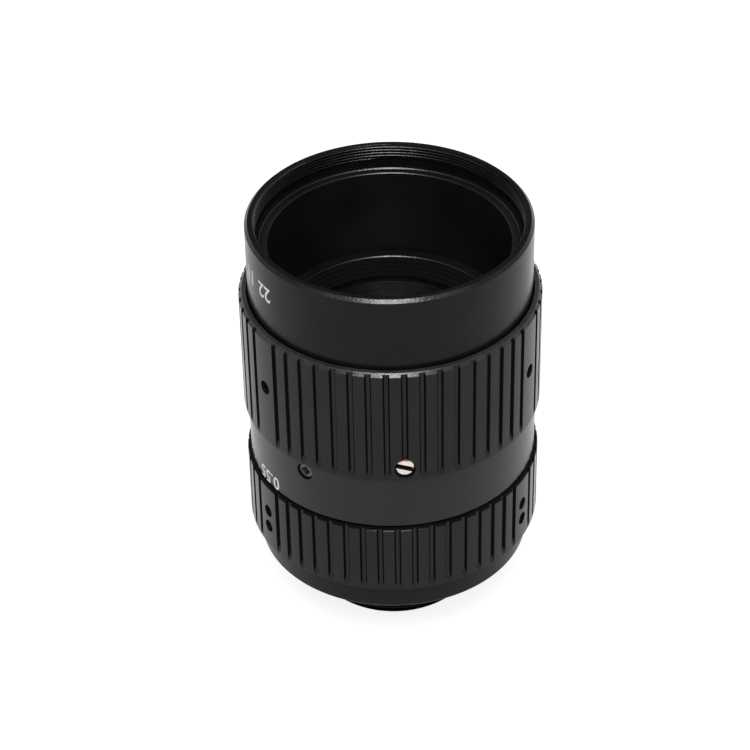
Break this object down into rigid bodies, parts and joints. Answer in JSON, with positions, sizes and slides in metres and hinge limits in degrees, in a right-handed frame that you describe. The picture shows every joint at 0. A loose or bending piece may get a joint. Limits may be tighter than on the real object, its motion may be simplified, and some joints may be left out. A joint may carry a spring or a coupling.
{
  "type": "c-mount machine vision lens",
  "caption": "Fixed focal length lens with a threaded camera mount, knurled focus and iris rings, a bladed iris and a deep threaded front.",
  "frame": {"origin": "on the optical axis in the plane of the mount shoulder", "axes": "+Z along the optical axis towards the front glass; -Y is the side with the iris drive screw"},
  "size_m": [0.0458, 0.0458, 0.0673],
  "materials": {
    "black_aluminium": "black anodised, fine matt",
    "knurled_aluminium": "black anodised, milled grip",
    "flat_black": "flat black anodised",
    "brass_ring": "turned",
    "black_steel": "black oxide",
    "bright_steel": "plain turned",
    "blade_steel": "black treated sheet",
    "coated_glass": "polished, coated"
  },
  "bodies": {
    "mount": {"mount_barrel": "black_aluminium", "focus_keeper": "black_aluminium"},
    "focus_ring": {"helicoid_ring": "brass_ring", "focus_grip": "knurled_aluminium", "focus_set_screws": "black_steel"},
    "optical_barrel": {"main_barrel": "black_aluminium", "guide_pins": "bright_steel", "front_barrel": "black_aluminium", "front_cell": "flat_black", "front_keeper": "flat_black", "front_glass": "coated_glass", "front_spacer": "flat_black", "second_glass": "coated_glass", "iris_base": "flat_black", "iris_base_screws": "black_steel", "rear_cell": "flat_black", "rear_doublet": "coated_glass", "doublet_keeper": "flat_black", "rear_glass": "coated_glass", "rear_keeper": "flat_black"},
    "iris_ring": {"iris_grip": "knurled_aluminium", "iris_sleeve": "brass_ring", "iris_set_screws": "black_steel", "iris_drive_screw": "bright_steel", "cam_ring": "flat_black"},
    "iris_blade_1": {"iris_blade_1": "blade_steel"},
    "iris_blade_2": {"iris_blade_2": "blade_steel"},
    "iris_blade_3": {"iris_blade_3": "blade_steel"},
    "iris_blade_4": {"iris_blade_4": "blade_steel"},
    "iris_blade_5": {"iris_blade_5": "blade_steel"},
    "iris_blade_6": {"iris_blade_6": "blade_steel"},
    "iris_blade_7": {"iris_blade_7": "blade_steel"}
  },
  "joints": [
    {"name": "focus_turn", "type": "hinge", "parent": "mount", "child": "focus_ring", "pos_m": [0, 0, 0.016], "axis": [0, 0, 1], "range_deg": [0, 150]},
    {"name": "focus_travel", "type": "slide", "parent": "mount", "child": "optical_barrel", "axis": [0, 0, 1], "range_m": [0, 0.005]},
    {"name": "iris_turn", "type": "hinge", "parent": "optical_barrel", "child": "iris_ring", "pos_m": [0, 0, 0.0415], "axis": [0, 0, 1], "range_deg": [0, 40]},
    {"name": "blade_1_swing", "type": "hinge", "parent": "optical_barrel", "child": "iris_blade_1", "pos_m": [0.0157, 0, 0.0315], "axis": [0, 0, 1], "range_deg": [0, 28.78]},
    {"name": "blade_2_swing", "type": "hinge", "parent": "optical_barrel", "child": "iris_blade_2", "pos_m": [0.00979, 0.01227, 0.0315], "axis": [0, 0, 1], "range_deg": [0, 28.78]},
    {"name": "blade_3_swing", "type": "hinge", "parent": "optical_barrel", "child": "iris_blade_3", "pos_m": [-0.00349, 0.01531, 0.0315], "axis": [0, 0, 1], "range_deg": [0, 28.78]},
    {"name": "blade_4_swing", "type": "hinge", "parent": "optical_barrel", "child": "iris_blade_4", "pos_m": [-0.01415, 0.00681, 0.0315], "axis": [0, 0, 1], "range_deg": [0, 28.78]},
    {"name": "blade_5_swing", "type": "hinge", "parent": "optical_barrel", "child": "iris_blade_5", "pos_m": [-0.01415, -0.00681, 0.0315], "axis": [0, 0, 1], "range_deg": [0, 28.78]},
    {"name": "blade_6_swing", "type": "hinge", "parent": "optical_barrel", "child": "iris_blade_6", "pos_m": [-0.00349, -0.01531, 0.0315], "axis": [0, 0, 1], "range_deg": [0, 28.78]},
    {"name": "blade_7_swing", "type": "hinge", "parent": "optical_barrel", "child": "iris_blade_7", "pos_m": [0.00979, -0.01227, 0.0315], "axis": [0, 0, 1], "range_deg": [0, 28.78]}
  ],
  "couplings": [
    {"joint": "focus_travel", "follows": "focus_turn", "m_per_rad": 0.0019099},
    {"joint": "blade_1_swing", "follows": "iris_turn", "ratio": 0.71917},
    {"joint": "blade_2_swing", "follows": "iris_turn", "ratio": 0.71917},
    {"joint": "blade_3_swing", "follows": "iris_turn", "ratio": 0.71917},
    {"joint": "blade_4_swing", "follows": "iris_turn", "ratio": 0.71917},
    {"joint": "blade_5_swing", "follows": "iris_turn", "ratio": 0.71917},
    {"joint": "blade_6_swing", "follows": "iris_turn", "ratio": 0.71917},
    {"joint": "blade_7_swing", "follows": "iris_turn", "ratio": 0.71917}
  ]
}
